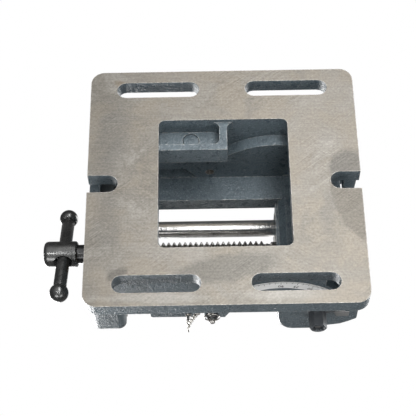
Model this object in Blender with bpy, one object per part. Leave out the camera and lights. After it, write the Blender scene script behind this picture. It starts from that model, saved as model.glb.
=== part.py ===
"""Tilting angle vise, base down, screw along X, tilt axis along Y.

Every length below is in drawing units of U metres.  The base plate is 200
units square.  +X is the handle side, -Y is the side with the degree scale,
and z = 0 is the machined underside of the base.  The drawing's own origin is
the middle of the base plate; finish() then moves everything by SHIFT, so that
the part's origin is the middle of its whole footprint.
"""
import math

import bmesh
import bpy
from mathutils import Matrix, Vector

U = 0.00091                 # one drawing unit in metres

# ---- base ---------------------------------------------------------------
PLATE_HALF = 100.0
PLATE_T = 12.5
PLATE_R = 10.0
WIN_X0, WIN_X1 = -48.3, 48.0
WIN_Y = 54.4
SLOT_Y = 82.9
SLOT_W = 13.7
SLOT_IN, SLOT_OUT = 17.4, 80.0
NOTCH_X = 77.6
NOTCH_Y = -0.6
NOTCH_W = 14.3
CHEEK_IN, CHEEK_OUT = 54.4, 68.0
# ---- tilt ---------------------------------------------------------------
PX, PZ = -41.0, 78.0        # tilt axis
DISC_R = 57.0
DISC_IN, DISC_OUT = 44.5, 54.0
ARC_R = 27.9                # clamp slot, centre line
ARC_HW = 4.3
BOLT1_A = -175.9            # clamp bolt places round the tilt axis, degrees
BOLT2_A = -120.0
SCALE_R0, SCALE_R1 = 38.5, 49.2
# ---- ways and jaws --------------------------------------------------------
RAIL_IN = 23.3
RAIL_Z0, RAIL_Z1 = 65.5, 79.0
RAIL_X0 = -92.5
BODY_X1 = 102.6             # handle end of the tilting body
SCREW_Z = 108.0
SCREW_R = 8.2
ROD_Y, ROD_R = 21.2, 6.75
JAW_HALF = 50.0
JAW_TOP = 143.0
JAW_R = 6.2                 # upright corners of both jaws
FIX_FACE = -42.0            # gripping faces
MOV_FACE = 79.3
PLATE_HW = 40.0             # half width of a jaw plate
PLATE_SCREW_Y = 26.0
SEAT = 2.9                  # depth of a plate with its gap, from face to seat
FIX_X0, FIX_X1 = -81.0, -42.6
MOV_X0, MOV_X1 = 79.9, 107.3
# ---- screw and handle -------------------------------------------------------
HUB_X0, HUB_X1, HUB_R = 117.8, 144.6, 10.6
BAR_X = 129.0
BAR_TILT = 22.0
BAR_HALF = 46.7
BAR_R = 5.2
BALL_R = 7.5
# ---- level stop ---------------------------------------------------------
STOP_X, STOP_Y, STOP_R = 24.3, 46.6, 5.9
LONG_NUT = 84.2             # outer end of the long clamp nut, from the middle plane
# ---- lock pin -----------------------------------------------------------
PIN_X, PIN_Z = 10.4, 57.7
PIN_R, PIN_HOLE = 2.95, 3.45
EYE_Y = -80.5
CHAIN_L = 40.5

SHIFT = Vector((-(HUB_X1 - PLATE_HALF) / 2.0, 0.0, 0.0))

for o in list(bpy.data.objects):
    bpy.data.objects.remove(o, do_unlink=True)

COL = bpy.context.scene.collection


# ------------------------------------------------------------------ helpers
def material(name, rgb, metal, rough):
    m = bpy.data.materials.new(name)
    m.use_nodes = True
    b = m.node_tree.nodes["Principled BSDF"]
    b.inputs["Base Color"].default_value = (rgb[0], rgb[1], rgb[2], 1.0)
    b.inputs["Metallic"].default_value = metal
    b.inputs["Roughness"].default_value = rough
    return m


def raw(name, bm):
    bmesh.ops.recalc_face_normals(bm, faces=bm.faces)
    me = bpy.data.meshes.new(name)
    bm.to_mesh(me)
    bm.free()
    o = bpy.data.objects.new(name, me)
    COL.objects.link(o)
    return o


def prism(pts, a0, a1, axis):
    """A polygon drawn in the plane across the axis, pushed from a0 to a1."""
    bm = bmesh.new()

    def put(p, a):
        if axis == "x":
            return (a, p[0], p[1])
        if axis == "y":
            return (p[0], a, p[1])
        return (p[0], p[1], a)

    lo = [bm.verts.new(put(p, a0)) for p in pts]
    hi = [bm.verts.new(put(p, a1)) for p in pts]
    n = len(pts)
    bm.faces.new(lo)
    bm.faces.new(hi[::-1])
    for i in range(n):
        j = (i + 1) % n
        bm.faces.new((lo[i], hi[i], hi[j], lo[j]))
    return raw("t", bm)


def box(x0, x1, y0, y1, z0, z1):
    return prism([(x0, y0), (x1, y0), (x1, y1), (x0, y1)], z0, z1, "z")


def lathe(profile, axis, c, n=32):
    """(place along the axis, radius) pairs turned about the axis through c."""
    bm = bmesh.new()
    rings = []
    for a, r in profile:
        if r <= 1e-6:
            p = [a, 0.0, 0.0]
            rings.append([bm.verts.new(_turn(p, axis, c))])
            continue
        ring = []
        for i in range(n):
            t = 2.0 * math.pi * (i + 0.5) / n
            ring.append(bm.verts.new(_turn([a, r * math.cos(t), r * math.sin(t)], axis, c)))
        rings.append(ring)
    for r0, r1 in zip(rings, rings[1:]):
        if len(r0) == 1 and len(r1) == 1:
            continue
        for i in range(n):
            j = (i + 1) % n
            if len(r0) == 1:
                bm.faces.new((r0[0], r1[j], r1[i]))
            elif len(r1) == 1:
                bm.faces.new((r0[i], r0[j], r1[0]))
            else:
                bm.faces.new((r0[i], r0[j], r1[j], r1[i]))
    if len(rings[0]) > 1:
        bm.faces.new(rings[0][::-1])
    if len(rings[-1]) > 1:
        bm.faces.new(rings[-1])
    return raw("t", bm)


def _turn(p, axis, c):
    a, b, d = p
    if axis == "x":
        return (a, c[0] + b, c[1] + d)
    if axis == "y":
        return (c[0] + b, a, c[1] + d)
    return (c[0] + b, c[1] + d, a)


def cyl(axis, c, r, a0, a1, n=24, ch=0.0):
    if ch > 0.0:
        return lathe([(a0, r - ch), (a0 + ch, r), (a1 - ch, r), (a1, r - ch)], axis, c, n)
    return lathe([(a0, r), (a1, r)], axis, c, n)


def boole(a, b, op):
    m = a.modifiers.new("b", "BOOLEAN")
    m.operation = op
    m.solver = "EXACT"
    m.object = b
    dg = bpy.context.evaluated_depsgraph_get()
    dg.update()
    me = bpy.data.meshes.new_from_object(a.evaluated_get(dg))
    a.modifiers.remove(m)
    old = a.data
    a.data = me
    bpy.data.meshes.remove(old)
    bpy.data.objects.remove(b, do_unlink=True)
    return a


def add(a, *bs):
    for b in bs:
        boole(a, b, "UNION")
    return a


def cut(a, *bs):
    for b in bs:
        boole(a, b, "DIFFERENCE")
    return a


def rrect(x0, x1, y0, y1, r, n=6):
    pts = []
    for cx, cy, a in ((x1 - r, y0 + r, -90), (x1 - r, y1 - r, 0),
                      (x0 + r, y1 - r, 90), (x0 + r, y0 + r, 180)):
        for i in range(n + 1):
            t = math.radians(a + 90.0 * i / n)
            pts.append((cx + r * math.cos(t), cy + r * math.sin(t)))
    return pts


def stadium(x0, x1, yc, w, n=10):
    r = w / 2.0
    pts = []
    for i in range(n + 1):
        t = math.radians(-90 + 180.0 * i / n)
        pts.append((x1 - r + r * math.cos(t), yc + r * math.sin(t)))
    for i in range(n + 1):
        t = math.radians(90 + 180.0 * i / n)
        pts.append((x0 + r + r * math.cos(t), yc + r * math.sin(t)))
    return pts


def on_arc(r, deg):
    t = math.radians(deg)
    return (PX + r * math.cos(t), PZ + r * math.sin(t))


def arc_band(r0, r1, d0, d1, n, capped=False):
    """Ring sector about the tilt axis, in the xz plane; round ends if capped."""
    pts = []
    for i in range(n + 1):
        pts.append(on_arc(r1, d0 + (d1 - d0) * i / n))
    if capped:
        m, h = (r0 + r1) / 2.0, (r1 - r0) / 2.0
        c = on_arc(m, d1)
        for i in range(1, 8):
            t = math.radians(d1 + 180.0 * i / 8)
            pts.append((c[0] + h * math.cos(t), c[1] + h * math.sin(t)))
    for i in range(n + 1):
        pts.append(on_arc(r0, d1 + (d0 - d1) * i / n))
    if capped:
        c = on_arc(m, d0)
        for i in range(1, 8):
            t = math.radians(d0 + 180.0 + 180.0 * i / 8)
            pts.append((c[0] + h * math.cos(t), c[1] + h * math.sin(t)))
    return pts


def hexagon(c, af, turn=0.0):
    r = af / math.sqrt(3.0)
    return [(c[0] + r * math.cos(math.radians(60 * i + turn)),
             c[1] + r * math.sin(math.radians(60 * i + turn))) for i in range(6)]


def finish(o, name, mat, origin=(0, 0, 0), smooth=False, angle=32.0, triangulate=False):
    """Scales from drawing units to metres, places the origin, names and colours."""
    me = o.data
    org = Vector(origin)
    bm = bmesh.new()
    bm.from_mesh(me)
    bmesh.ops.remove_doubles(bm, verts=bm.verts, dist=0.002)
    bmesh.ops.dissolve_degenerate(bm, dist=0.001, edges=bm.edges)
    for v in bm.verts:
        v.co = (v.co - org) * U
    bmesh.ops.recalc_face_normals(bm, faces=bm.faces)
    bm.to_mesh(me)
    bm.free()
    o.name = name
    me.name = name
    o.location = (org + SHIFT) * U
    me.materials.clear()
    me.materials.append(mat)
    if smooth:
        me.shade_smooth()
        me.set_sharp_from_angle(angle=math.radians(angle))
    return o


# ---------------------------------------------------------------- materials
def paint(name):
    return material(name, (0.085, 0.105, 0.125), 0.0, 0.55)


def steel(name, v=0.55, r=0.3):
    return material(name, (v, v * 0.99, v * 0.97), 1.0, r)


# --------------------------------------------------------------- base casting
def cheek_profile():
    return [(57.0, 6.0), (57.0, 83.8), (55.6, 85.3), (22.8, 85.5), (22.6, 77.6), (16.4, 77.6),
            (16.0, 86.2), (0.8, 87.0), (-3.1, 78.2), (-38.6, 78.2), (-39.9, 79.6),
            (-40.4, 90.0), (-41.8, 97.0), (-44.6, 104.6), (-47.6, 107.6), (-51.5, 108.8),
            (-66.0, 108.8), (-76.4, 104.4), (-88.0, 101.7), (-94.0, 97.6), (-99.8, 92.5),
            (-100.0, 90.0), (-99.6, 6.0)]


base = prism(rrect(-PLATE_HALF, PLATE_HALF, -PLATE_HALF, PLATE_HALF, PLATE_R, 7), 0.0, PLATE_T, "z")
for s in (-1, 1):
    a, b = sorted((s * CHEEK_IN, s * CHEEK_OUT))
    add(base, prism(cheek_profile(), a, b, "y"))
# low end wall that ties the two cheeks together behind the tilting body
add(base, prism([(-98.2, 6.0), (-88.6, 6.0), (-89.6, 35.0), (-97.0, 35.0)], -60.0, 60.0, "y"))
# window, mounting slots and edge notches
cut(base, prism(rrect(WIN_X0, WIN_X1, -WIN_Y, WIN_Y, 4.5, 4), -5.0, 30.0, "z"))
for sx in (-1, 1):
    x0, x1 = sorted((sx * SLOT_IN, sx * SLOT_OUT))
    for sy in (-1, 1):
        cut(base, prism(stadium(x0, x1, sy * SLOT_Y, SLOT_W, 8), -5.0, 30.0, "z"))
cut(base, prism(stadium(NOTCH_X, 130.0, NOTCH_Y, NOTCH_W, 8), -5.0, 30.0, "z"))
cut(base, prism(stadium(-130.0, -NOTCH_X, NOTCH_Y, NOTCH_W, 8), -5.0, 28.0, "z"))
# web and pocket across one side of the window, under the body
web = prism([(-3.1, 29.9), (49.5, 29.9), (49.5, 55.5), (-3.1, 55.5)], 3.5, 20.4, "z")
pocket = prism([(2.7, 50.4), (3.6, 52.6), (6.6, 54.3), (6.6, 60.0), (60.0, 60.0), (60.0, 35.1), (6.9, 35.1),
                (4.3, 35.8), (2.9, 38.0), (2.7, 41.0)], -4.0, 16.2, "z")
cut(web, pocket)
flare = prism([(-3.1, 49.8), (-4.4, 52.4), (-7.4, 54.3), (-7.4, 55.5), (-3.0, 55.5)], 3.5, 12.0, "z")
add(web, flare)
add(base, web)
# clamp slots round the tilt axis, lock pin holes and the cast-out corners
for s in (-1, 1):
    a, b = sorted((s * (CHEEK_IN - 3.0), s * (CHEEK_OUT + 3.0)))
    cut(base, prism(arc_band(ARC_R - ARC_HW, ARC_R + ARC_HW, BOLT1_A - 3.0, BOLT2_A + 93.0, 20, True), a, b, "y"))
    cut(base, cyl("y", (PIN_X, PIN_Z), PIN_HOLE, a, b, 24))
    cut(base, prism([(-90.0, 17.0), (-72.8, 17.0)] +
                    [on_arc(51.8, d) for d in (-127.8, -131.0, -134.5, -138.0, -141.0)] +
                    [(-90.0, 45.4)], a, b, "y"))
# hole for the level stop
cut(base, cyl("z", (STOP_X, STOP_Y), STOP_R + 0.35, 10.0, 26.0, 32))
# hole for the eye screw
cut(base, cyl("y", (28.5, 78.6), 1.75, -72.0, -60.0, 12))
finish(base, "base_casting", paint("base_paint"))

# --------------------------------------------------------------- tilting body
side = [(BODY_X1, 79.0), (BODY_X1, 40.0), (96.0, 40.0), (64.0, 43.0), (4.2, 43.0)]
n = 26
a_start = math.degrees(math.atan2(43.0 - PZ, 4.2 - PX))
a_r = math.hypot(4.2 - PX, 43.0 - PZ)
for i in range(1, n + 1):
    d = a_start + (-180.0 - a_start) * i / n
    side.append(on_arc(DISC_R, d))
side.append((PX - DISC_R, 79.0))
body = None
for s in (-1, 1):
    a, b = sorted((s * DISC_IN, s * DISC_OUT))
    w = prism(side, a, b, "y")
    # opening in the wall just under the way
    cut(w, prism([(56.0, 52.8), (29.4, 52.8), (20.9, 64.4), (56.0, 64.4)], a - 1, b + 1, "y"))
    ra, rb = sorted((s * RAIL_IN, s * (DISC_IN + 1.0)))
    add(w, prism([(BODY_X1, RAIL_Z0), (BODY_X1, RAIL_Z1), (RAIL_X0, RAIL_Z1), (RAIL_X0, RAIL_Z0)], ra, rb, "y"))
    body = w if body is None else add(body, w)
# cross wall under the ways at the handle end
add(body, box(BODY_X1 - 8.0, BODY_X1, -46.0, 46.0, 40.0, 54.0))
# fixed jaw block, with a toe where it meets the ways
add(body, prism([(FIX_X1, 68.0), (FIX_X1, 115.5), (FIX_X0, 115.5), (FIX_X0, 66.5), (-74.0, 64.0), (-48.0, 64.0)],
                -45.5, 45.5, "y"))
add(body, prism([(-40.6, 76.0), (-43.4, 84.0), (-45.5, 84.0), (-45.5, 72.0), (-40.6, 72.0)], -45.5, 45.5, "y"))
jaw = prism(rrect(FIX_X0 + 9.0, FIX_X1, -JAW_HALF, JAW_HALF, JAW_R, 6), 110.0, JAW_TOP, "z")
cut(jaw, prism([(FIX_X0 + 5.0, 136.0), (FIX_X0 + 20.0, 150.0), (FIX_X0 + 5.0, 150.0)], -60.0, 60.0, "y"))
add(body, jaw)
for y in (-38.0, 0.0, 38.0):
    add(body, prism([(FIX_X0, 100.0), (FIX_X0, 112.0), (FIX_X0 + 11.0, 134.0), (FIX_X0 + 11.0, 100.0)],
                    y - 3.5, y + 3.5, "y"))
# jaw plate seat
cut(body, box(FIX_FACE - SEAT - 0.4, FIX_X1 + 5.0, -PLATE_HW - 0.4, PLATE_HW + 0.4, 115.9, 150.0))
for y in (-ROD_Y, ROD_Y):
    cut(body, cyl("x", (y, SCREW_Z), ROD_R + 0.35, -90.0, -30.0, 28))
    cut(body, cyl("z", (-62.0, y), 2.75, SCREW_Z + 3.0, 150.0, 12))
cut(body, cyl("x", (0.0, SCREW_Z), 6.45, -90.0, -30.0, 28))
for y in (-PLATE_SCREW_Y, PLATE_SCREW_Y):
    cut(body, cyl("x", (y, 128.5), 2.65, -60.0, -30.0, 14))
for s in (-1, 1):
    a, b = sorted((s * (DISC_IN - 1.0), s * (DISC_OUT + 1.0)))
    for ang in (BOLT1_A, BOLT2_A):
        cut(body, cyl("y", on_arc(ARC_R, ang), 4.3, a, b, 24))
    cut(body, cyl("y", (PIN_X, PIN_Z), PIN_HOLE, a, b, 24))
# rim notches that take the lock pin at 45 and 90 degrees
pin_r = math.hypot(PIN_X - PX, PIN_Z - PZ)
pin_a = math.degrees(math.atan2(PIN_Z - PZ, PIN_X - PX))
for t in (45.0, 90.0):
    cut(body, cyl("y", on_arc(pin_r, pin_a - t), PIN_HOLE, -DISC_OUT - 1.0, -DISC_IN + 1.0, 24))
finish(body, "tilting_body", paint("body_paint"), (PX, 0.0, PZ))

# --------------------------------------------------------------- movable jaw
mj = prism(rrect(MOV_X0, MOV_X1, -JAW_HALF, JAW_HALF, JAW_R, 6), 79.4, JAW_TOP, "z")
cut(mj, prism([(MOV_X1 - 9.0, 150.0), (MOV_X1 + 5.0, 134.0), (MOV_X1 + 5.0, 150.0)], -60.0, 60.0, "y"))
cut(mj, box(MOV_X0 - 5.0, MOV_FACE + SEAT + 0.4, -PLATE_HW - 0.4, PLATE_HW + 0.4, 115.9, 150.0))
add(mj, box(MOV_X0 + 2.0, MOV_X1 - 2.0, -22.7, 22.7, 65.2, 82.0))
for y in (-ROD_Y, ROD_Y):
    cut(mj, cyl("x", (y, SCREW_Z), ROD_R + 0.4, 70.0, 120.0, 28))
cut(mj, cyl("x", (0.0, SCREW_Z), 12.4, 70.0, 120.0, 32))
for y in (-PLATE_SCREW_Y, PLATE_SCREW_Y):
    cut(mj, cyl("x", (y, 128.5), 2.65, 70.0, 96.0, 14))
for y in (-12.0, 12.0):
    cut(mj, cyl("z", (94.0, y), 2.65, 60.0, 77.0, 14))
finish(mj, "movable_jaw", paint("jaw_paint"), (94.0, 0.0, SCREW_Z))

# keeper plate under the ways
kp = box(86.0, 102.0, -38.0, 38.0, 60.0, 64.9)
for y in (-12.0, 12.0):
    cut(kp, cyl("z", (94.0, y), 2.9, 55.0, 70.0, 14))
finish(kp, "keeper_plate", steel("keeper_steel", 0.32, 0.45), (94.0, 0.0, 62.0))
for i, y in enumerate((-12.0, 12.0)):
    o = prism(hexagon((94.0, y), 8.6), 56.2, 59.7, "z")
    add(o, cyl("z", (94.0, y), 2.35, 59.0, 75.0, 14))
    finish(o, "keeper_screw_%d" % (i + 1), steel("keeper_screw_steel_%d" % (i + 1), 0.30, 0.4), (94.0, y, 58.0))

# --------------------------------------------------------------- jaw plates
for tag, x0, x1 in (("fixed", FIX_FACE - SEAT, FIX_FACE), ("movable", MOV_FACE, MOV_FACE + SEAT)):
    o = prism(rrect(-PLATE_HW, PLATE_HW, 116.3, 142.6, 0.8, 1), x0, x1, "x")
    s = 1.0 if tag == "fixed" else -1.0
    face = x1 if tag == "fixed" else x0
    for y in (-PLATE_SCREW_Y, PLATE_SCREW_Y):
        cut(o, lathe([(face - s * 6.0, 2.75), (face - s * 2.5, 2.75), (face + s * 0.6, 5.7)], "x", (y, 128.5), 20))
    # shallow grooves across the gripping face
    for g in range(-3, 4):
        y = g * 10.6
        if abs(abs(y) - PLATE_SCREW_Y) > 7.5:
            cut(o, prism([(face + s * 0.2, y - 0.7), (face - s * 0.55, y), (face + s * 0.2, y + 0.7)],
                         112.0, 145.0, "z"))
    finish(o, "jaw_plate_" + tag, steel("jaw_plate_steel_" + tag, 0.42, 0.35), (face, 0.0, 128.5))
    for i, y in enumerate((-PLATE_SCREW_Y, PLATE_SCREW_Y)):
        o = lathe([(face - s * 11.0, 2.3), (face - s * 2.75, 2.3), (face - s * 0.25, 4.75)], "x", (y, 128.5), 20)
        cut(o, box(face - s * 0.25 - 1.1, face - s * 0.25 + 1.1, y - 0.65, y + 0.65, 120.0, 137.0))
        finish(o, "jaw_screw_%s_%d" % (tag, i + 1), steel("jaw_screw_steel_%s_%d" % (tag, i + 1), 0.25, 0.35),
               (face, y, 128.5), True, 30.0)

# --------------------------------------------------------------- guide rods
for i, y in enumerate((-ROD_Y, ROD_Y)):
    o = cyl("x", (y, SCREW_Z), ROD_R, -79.0, 110.0, 40, 0.9)
    finish(o, "guide_rod_%d" % (i + 1), steel("guide_rod_steel_%d" % (i + 1), 0.62, 0.16), (15.0, y, SCREW_Z), True)
    o = cyl("z", (-62.0, y), 2.35, SCREW_Z + ROD_R + 0.4, SCREW_Z + ROD_R + 11.0, 14)
    cut(o, prism(hexagon((-62.0, y), 2.4), SCREW_Z + ROD_R + 8.0, SCREW_Z + ROD_R + 13.0, "z"))
    finish(o, "rod_set_screw_%d" % (i + 1), steel("set_screw_steel_%d" % (i + 1), 0.2, 0.4),
           (-62.0, y, SCREW_Z + ROD_R))

# --------------------------------------------------------------- screw, nut, collar
screw = lathe([(-90.5, 5.1), (-89.6, 6.0), (-42.6, 6.0), (-42.6, 7.4), (-37.8, 7.4), (-37.0, 8.2),
               (109.0, 8.2), (109.6, 7.65), (134.0, 7.65), (134.0, 6.6)], "x", (0.0, SCREW_Z), 32)
t = math.radians(BAR_TILT)
bar_dir = Vector((0.0, math.cos(t), math.sin(t)))


def along_bar(profile, n=24):
    """Turned about the bar's own axis through the middle of the hub."""
    o = lathe(profile, "y", (0.0, 0.0), n)
    m = Matrix.Translation((BAR_X, 0.0, SCREW_Z)) @ Matrix.Rotation(t, 4, "X")
    o.data.transform(m)
    return o


cut(screw, along_bar([(-20.0, BAR_R + 0.7), (20.0, BAR_R + 0.7)], 24))
for x in (-85.0, 121.8):
    cut(screw, cyl("z", (x, 0.0), 1.9, 90.0, 125.0, 12))
finish(screw, "lead_screw", steel("screw_steel", 0.45, 0.3), (0.0, 0.0, SCREW_Z), True)


o = cyl("x", (0.0, SCREW_Z), 12.0, 83.0, 107.0, 32, 0.6)
cut(o, cyl("x", (0.0, SCREW_Z), 8.6, 80.0, 112.0, 32))
finish(o, "screw_nut", material("nut_bronze", (0.55, 0.36, 0.14), 1.0, 0.35), (94.0, 0.0, SCREW_Z), True)

# collar that holds the screw's plain end behind the fixed jaw, with its cross pin
o = cyl("x", (0.0, SCREW_Z), 9.6, -88.6, -81.4, 28, 0.6)
cut(o, cyl("x", (0.0, SCREW_Z), 6.35, -95.0, -78.0, 28))
cut(o, cyl("z", (-85.0, 0.0), 1.85, 90.0, 125.0, 12))
finish(o, "screw_collar", steel("collar_steel", 0.22, 0.4), (-85.0, 0.0, SCREW_Z), True)

# --------------------------------------------------------------- hub and tommy bar
o = lathe([(HUB_X0, 7.9), (HUB_X0, 9.4), (HUB_X0 + 1.6, HUB_R), (HUB_X1 - 3.2, HUB_R), (HUB_X1 - 1.2, 9.6),
           (HUB_X1, 7.4)], "x", (0.0, SCREW_Z), 36)
cut(o, cyl("x", (0.0, SCREW_Z), 8.0, 110.0, 134.6, 32))
cut(o, along_bar([(-20.0, BAR_R + 0.7), (20.0, BAR_R + 0.7)], 24))
for s in (-1, 1):
    cut(o, along_bar([(s * 8.6, BAR_R + 0.6), (s * 11.6, BAR_R + 3.6)] if s > 0 else
                     [(s * 11.6, BAR_R + 3.6), (s * 8.6, BAR_R + 0.6)], 24))
cut(o, cyl("z", (121.8, 0.0), 1.9, 90.0, 125.0, 12))
finish(o, "handle_hub", steel("hub_steel", 0.06, 0.38), (BAR_X, 0.0, SCREW_Z), True)

# the hub is held on the screw by a cross pin
hp = cyl("z", (121.8, 0.0), 1.55, SCREW_Z - 10.2, SCREW_Z + 10.2, 12, 0.3)
finish(hp, "hub_pin", steel("hub_pin_steel", 0.3, 0.35), (121.8, 0.0, SCREW_Z), True)
hp = cyl("z", (-85.0, 0.0), 1.5, SCREW_Z - 9.3, SCREW_Z + 9.3, 12, 0.3)
finish(hp, "collar_pin", steel("collar_pin_steel", 0.3, 0.35), (-85.0, 0.0, SCREW_Z), True)

o = along_bar([(-BAR_HALF - 3.6, 2.4), (-BAR_HALF - 3.4, 2.7), (-BAR_HALF + 5.2, 2.7), (-BAR_HALF + 5.2, BAR_R),
               (BAR_HALF - 5.2, BAR_R), (BAR_HALF - 5.2, 2.7), (BAR_HALF + 3.4, 2.7), (BAR_HALF + 3.6, 2.4)], 28)
finish(o, "tommy_bar", steel("bar_steel", 0.07, 0.34), (BAR_X, 0.0, SCREW_Z), True)
for tag, s in (("front", -1), ("rear", 1)):
    # a ball with a flat seat toward the bar
    seat = -4.7
    pts = [(seat, 0.0), (seat, math.sqrt(BALL_R ** 2 - seat ** 2))]
    for i in range(1, 13):
        a = math.degrees(math.asin(seat / BALL_R)) + (90.0 - math.degrees(math.asin(seat / BALL_R))) * i / 12
        pts.append((BALL_R * math.sin(math.radians(a)), BALL_R * math.cos(math.radians(a)) if i < 12 else 0.0))
    pts = [(s * (BAR_HALF + p[0]), p[1]) for p in pts]
    if s < 0:
        pts = pts[::-1]
    o = along_bar(pts, 28)
    hole = [(s * (BAR_HALF - 9.0), 3.05), (s * (BAR_HALF + 4.2), 3.05)]
    cut(o, along_bar(hole if s > 0 else hole[::-1], 20))
    finish(o, "bar_ball_" + tag, steel("ball_steel_" + tag, 0.07, 0.3),
           tuple(Vector((BAR_X, 0.0, SCREW_Z)) + bar_dir * (s * BAR_HALF)), True, 40.0)

# --------------------------------------------------------------- tilt clamps
for s, tag in ((-1, "front"), (1, "rear")):
    for k, ang in ((1, BOLT1_A), (2, BOLT2_A)):
        c = on_arc(ARC_R, ang)
        tip = LONG_NUT - 2.0 if (s < 0 and k == 1) else 76.6
        # stud screwed into the body wall, out through the cheek slot
        pr = [(s * (DISC_IN + 0.6), 3.2), (s * (DISC_IN + 1.3), 3.85), (s * (tip - 0.9), 3.85), (s * tip, 2.9)]
        o = lathe(pr if s > 0 else pr[::-1], "y", c, 24)
        finish(o, "clamp_stud_%s_%d" % (tag, k), steel("clamp_stud_steel_%s_%d" % (tag, k), 0.35, 0.35),
               (c[0], s * CHEEK_OUT, c[1]), True)
        if not (s < 0 and k == 1):
            y0, y1 = sorted((s * (CHEEK_OUT + 0.35), s * (CHEEK_OUT + 1.75)))
            o = cyl("y", c, 8.2, y0, y1, 28)
            cut(o, cyl("y", c, 4.3, y0 - 1, y1 + 1, 24))
            finish(o, "clamp_washer_%s_%d" % (tag, k), steel("clamp_washer_steel_%s_%d" % (tag, k), 0.5, 0.35),
                   (c[0], s * CHEEK_OUT, c[1]), True)
        end = LONG_NUT if (s < 0 and k == 1) else 75.6
        y0, y1 = sorted((s * (CHEEK_OUT + 2.25), s * end))
        af = 11.4 if (s < 0 and k == 1) else 12.6
        o = prism(hexagon(c, af, 0.0 if (s < 0 and k == 1) else 30.0), y0, y1, "y")
        cut(o, cyl("y", c, 4.2, y0 - 2, y1 + 2, 24))
        finish(o, "clamp_nut_%s_%d" % (tag, k), steel("clamp_nut_steel_%s_%d" % (tag, k), 0.2, 0.42),
               (c[0], s * CHEEK_OUT, c[1]))

# pointer under the long clamp nut; its tip reaches over the degree scale
c = on_arc(ARC_R, BOLT1_A)
pts = [(c[0] + 7.4 * math.cos(math.radians(a)), c[1] + 7.4 * math.sin(math.radians(a)))
       for a in range(-120, 121, 20)]
pts += [(-72.0, 82.2), (-79.0, 77.9), (-82.5, 77.3), (-82.5, 76.6), (-79.0, 75.9), (-72.0, 70.4)]
o = prism(pts, -CHEEK_OUT - 1.9, -CHEEK_OUT - 1.1, "y")
cut(o, cyl("y", c, 4.3, -72.0, -66.0, 24))
finish(o, "tilt_pointer", steel("pointer_steel", 0.6, 0.3), (c[0], -CHEEK_OUT, c[1]))

# --------------------------------------------------------------- degree scale
o = prism(arc_band(SCALE_R0, SCALE_R1, -180.5, -52.0, 40), -CHEEK_OUT - 0.75, -CHEEK_OUT - 0.33, "y")
for ang in (-171.0, -58.0):
    cut(o, cyl("y", on_arc(40.4, ang), 1.45, -72.0, -66.0, 12))
finish(o, "degree_scale", material("scale_enamel", (0.82, 0.82, 0.80), 0.0, 0.4), (PX, -CHEEK_OUT, PZ))

# plain pad on the upright
o = prism([(-81.6, 79.3), (-84.1, 86.7), (-93.3, 86.7), (-93.5, 79.3)], -CHEEK_OUT - 0.95, -CHEEK_OUT - 0.35, "y")
finish(o, "blank_pad", steel("pad_metal", 0.5, 0.5), (-88.0, -CHEEK_OUT, 81.0))

# --------------------------------------------------------------- lock pin, head, ring
o = lathe([(-86.6, 1.9), (-86.0, 2.35), (-76.4, 2.35), (-76.4, PIN_R), (-56.6, PIN_R), (-55.4, 1.8)],
          "y", (PIN_X, PIN_Z), 20)
cut(o, cyl("x", (-84.4, PIN_Z), 1.2, 0.0, 20.0, 14))
finish(o, "lock_pin", steel("lock_pin_steel", 0.55, 0.25), (PIN_X, -CHEEK_OUT, PIN_Z), True)
o = lathe([(-82.6, 3.6), (-82.0, 4.3), (-77.4, 4.3), (-76.7, 3.7)], "y", (PIN_X, PIN_Z), 24)
cut(o, cyl("y", (PIN_X, PIN_Z), 2.7, -90.0, -70.0, 20))
for i in range(12):
    a = math.radians(30.0 * i)
    cut(o, cyl("y", (PIN_X + 4.75 * math.cos(a), PIN_Z + 4.75 * math.sin(a)), 0.75, -90.0, -70.0, 6))
finish(o, "lock_pin_grip", steel("pin_grip_steel", 0.25, 0.35), (PIN_X, -79.6, PIN_Z))


def torus(R, r, n, m, frame, squash=1.0):
    """Ring in the frame's first two directions; squash stretches the first."""
    bm = bmesh.new()
    c, e1, e2 = frame
    e3 = e1.cross(e2)
    rows = []
    for i in range(n):
        a = 2 * math.pi * i / n
        d = e1 * math.cos(a) + e2 * math.sin(a)
        ctr = c + e1 * (R * squash * math.cos(a)) + e2 * (R * math.sin(a))
        tan = (-e1 * (squash * math.sin(a)) + e2 * math.cos(a)).normalized()
        nrm = tan.cross(e3).normalized()
        rows.append([bm.verts.new(ctr + (nrm * math.cos(2 * math.pi * j / m) + e3 * math.sin(2 * math.pi * j / m)) * r)
                     for j in range(m)])
    for i in range(n):
        for j in range(m):
            i2, j2 = (i + 1) % n, (j + 1) % m
            bm.faces.new((rows[i][j], rows[i2][j], rows[i2][j2], rows[i][j2]))
    return raw("t", bm)


ring_c = Vector((PIN_X, -84.4, PIN_Z + 0.25 - 5.5))
o = torus(5.5, 0.45, 24, 6, (ring_c, Vector((0, 0, 1)), Vector((1, 0, 0))))
finish(o, "pin_ring", steel("pin_ring_steel", 0.6, 0.25), tuple(ring_c), True, 60.0)

# eye screw in the cheek, with the chain's other end
EYE = Vector((28.5, EYE_Y, 78.6))
o = torus(2.9, 0.62, 20, 6, (EYE, Vector((0, 0, 1)), Vector((0, 1, 0))))
add(o, cyl("y", (EYE.x, EYE.z), 1.3, EYE_Y + 2.8, -60.8, 12))
finish(o, "eye_screw", steel("eye_screw_steel", 0.6, 0.25), tuple(EYE), True, 45.0)

# --------------------------------------------------------------- chain
a = EYE + Vector((0.0, 0.0, -4.9))
b = ring_c + Vector((0.0, 0.0, -7.4))


def chain_point(f, sag):
    p = a.lerp(b, f)
    p.z -= sag * 4.0 * f * (1.0 - f)
    return p


def chain_len(sag):
    q = [chain_point(i / 60.0, sag) for i in range(61)]
    return sum((v - u).length for u, v in zip(q, q[1:]))


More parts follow.
